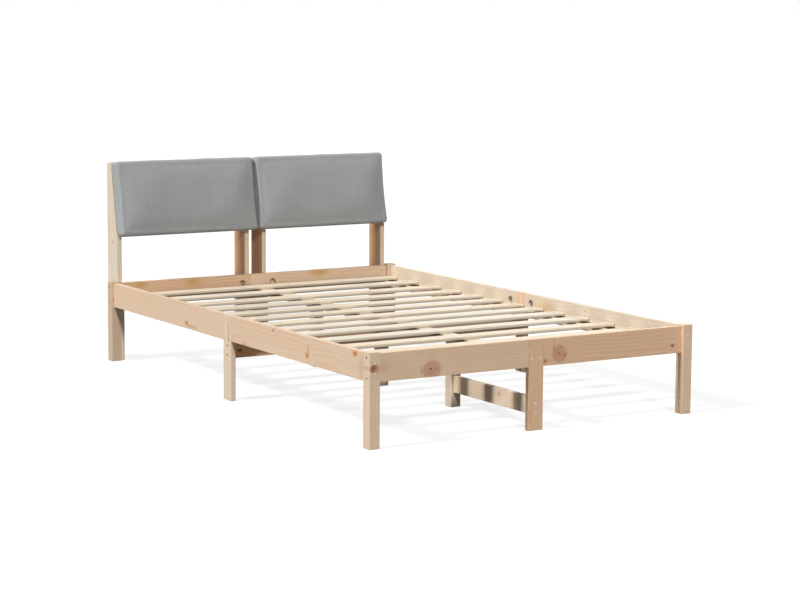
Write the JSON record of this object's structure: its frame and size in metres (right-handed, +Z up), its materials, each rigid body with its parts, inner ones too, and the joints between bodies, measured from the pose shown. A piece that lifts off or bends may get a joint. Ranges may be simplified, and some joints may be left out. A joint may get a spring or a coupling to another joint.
{
  "type": "bed frame",
  "caption": "Low wooden slatted bed frame on square legs, with two grey padded cushions leaning back on posts as its headboard.",
  "frame": {"origin": "on the floor, under the middle of the whole bed's outline", "axes": "+Y from the foot to the headboard, +X to the right seen from the foot, +Z up"},
  "size_m": [1.256, 2.036, 0.7573],
  "materials": {
    "pine": "satin",
    "slat_wood": "satin",
    "plywood": "matte",
    "beech_dowel": "matte",
    "grey_fabric": "woven, matte",
    "strap_webbing": "woven, matte",
    "zinc_steel": "zinc plated"
  },
  "bodies": {
    "root": {"centre_beam_foot_half": "pine", "centre_beam_foot_leg": "pine", "centre_beam_head_half": "pine", "centre_beam_head_leg": "pine", "centre_beam_middle_leg": "pine", "centre_strap": "strap_webbing", "corner_screws": "zinc_steel", "cross_beam_left_half": "pine", "cross_beam_right_half": "pine", "dowels": "beech_dowel", "foot_centre_leg": "pine", "foot_left_leg": "pine", "foot_rail_left_half": "pine", "foot_rail_right_half": "pine", "foot_right_leg": "pine", "frame_screws": "zinc_steel", "head_centre_leg": "pine", "head_left_leg": "pine", "head_rail_left_half": "pine", "head_rail_right_half": "pine", "head_right_leg": "pine", "joint_bolts": "zinc_steel", "joint_nuts": "zinc_steel", "ledger_screws": "zinc_steel", "left_backing_board": "plywood", "left_cushion": "grey_fabric", "left_inner_post": "pine", "left_ledger_foot_half": "pine", "left_ledger_head_half": "pine", "left_middle_leg": "pine", "left_outer_post": "pine", "left_rail_foot_half": "pine", "left_rail_head_half": "pine", "left_strap": "strap_webbing", "low_stretcher": "pine", "panel_screws": "zinc_steel", "right_backing_board": "plywood", "right_cushion": "grey_fabric", "right_inner_post": "pine", "right_ledger_foot_half": "pine", "right_ledger_head_half": "pine", "right_middle_leg": "pine", "right_outer_post": "pine", "right_rail_foot_half": "pine", "right_rail_head_half": "pine", "right_strap": "strap_webbing", "slat_01": "slat_wood", "slat_02": "slat_wood", "slat_03": "slat_wood", "slat_04": "slat_wood", "slat_05": "slat_wood", "slat_06": "slat_wood", "slat_07": "slat_wood", "slat_08": "slat_wood", "slat_09": "slat_wood", "slat_10": "slat_wood", "slat_11": "slat_wood", "slat_12": "slat_wood", "slat_13": "slat_wood", "staples": "zinc_steel"}
  },
  "joints": []
}
